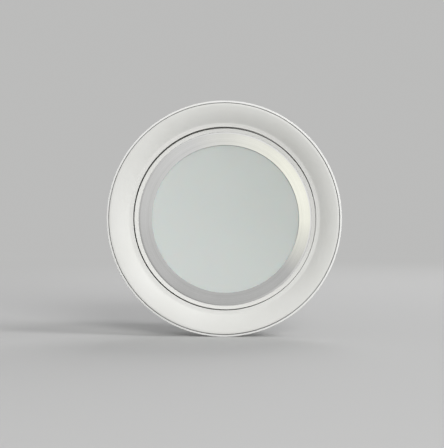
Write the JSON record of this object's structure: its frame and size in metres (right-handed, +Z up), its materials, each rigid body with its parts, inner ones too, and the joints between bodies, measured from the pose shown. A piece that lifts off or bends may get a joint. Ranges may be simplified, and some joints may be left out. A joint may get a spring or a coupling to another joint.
{
  "type": "adjustable recessed led spotlight",
  "caption": "Round white trim ring with sprung clips and a tilting head behind it, with turned ring, frosted glass, board, finned heat sink and cable gland.",
  "frame": {"origin": "centre of the flange rear plane, which lies on the panel", "axes": "+Y along the axis of the light into the panel, so the light shines towards -Y; +Z up; the tilt axis is parallel to X"},
  "size_m": [0.12, 0.0648, 0.12],
  "materials": {
    "white_lacquer": "satin white lacquer on cast aluminium",
    "turned_aluminium": "fine turned and clear-anodised, with concentric turning lines",
    "frosted_glass": "flat, acid-etched, pale grey-green",
    "cast_aluminium": "as-cast, blasted",
    "spring_steel": "bright spring steel",
    "zinc_steel": "bright zinc plated",
    "black_rubber": "matt",
    "silicone": "translucent white",
    "white_moulding": "smooth white moulding",
    "board_white": "white solder mask",
    "grey_pad": "soft thermal pad",
    "black_nylon": "moulded, fine texture"
  },
  "bodies": {
    "trim": {"trim_ring": "white_lacquer", "flange_gasket": "black_rubber", "friction_washer_right": "white_moulding", "friction_washer_left": "white_moulding", "clip_pin_right": "zinc_steel", "clip_pin_left": "zinc_steel", "clip_spring_right": "spring_steel", "clip_spring_left": "spring_steel"},
    "head": {"head_shell": "white_lacquer", "front_ring": "turned_aluminium", "diffuser_glass": "frosted_glass", "glass_gasket": "silicone", "mixing_reflector": "white_moulding", "led_board": "board_white", "terminal_block": "white_moulding", "thermal_pad": "grey_pad", "heat_sink": "cast_aluminium", "sink_seal": "black_rubber", "gland_body": "black_nylon", "gland_seal": "black_rubber", "gland_nut": "black_nylon", "pivot_screw_right": "zinc_steel", "pivot_screw_left": "zinc_steel", "board_screw_1": "zinc_steel", "board_screw_2": "zinc_steel", "board_screw_3": "zinc_steel", "sink_screw_1": "zinc_steel", "sink_screw_2": "zinc_steel", "sink_screw_3": "zinc_steel", "sink_screw_4": "zinc_steel"},
    "clip_right": {"clip_arm_right": "spring_steel"},
    "clip_left": {"clip_arm_left": "spring_steel"}
  },
  "joints": [
    {"name": "head_tilt", "type": "hinge", "parent": "trim", "child": "head", "pos_m": [0, 0.00921, 0], "axis": [1, 0, 0], "range_deg": [-20, 20]},
    {"name": "clip_right_fold", "type": "hinge", "parent": "trim", "child": "clip_right", "pos_m": [0.04932, 0.02211, 0], "axis": [0, 0, 1], "range_deg": [0, 160], "stiffness_Nm_per_rad": 0.08, "springref_deg": -20.05, "deforming": ["clip_spring_right"]},
    {"name": "clip_left_fold", "type": "hinge", "parent": "trim", "child": "clip_left", "pos_m": [-0.04932, 0.02211, 0], "axis": [0, 0, -1], "range_deg": [0, 160], "stiffness_Nm_per_rad": 0.08, "springref_deg": -20.05, "deforming": ["clip_spring_left"]}
  ]
}
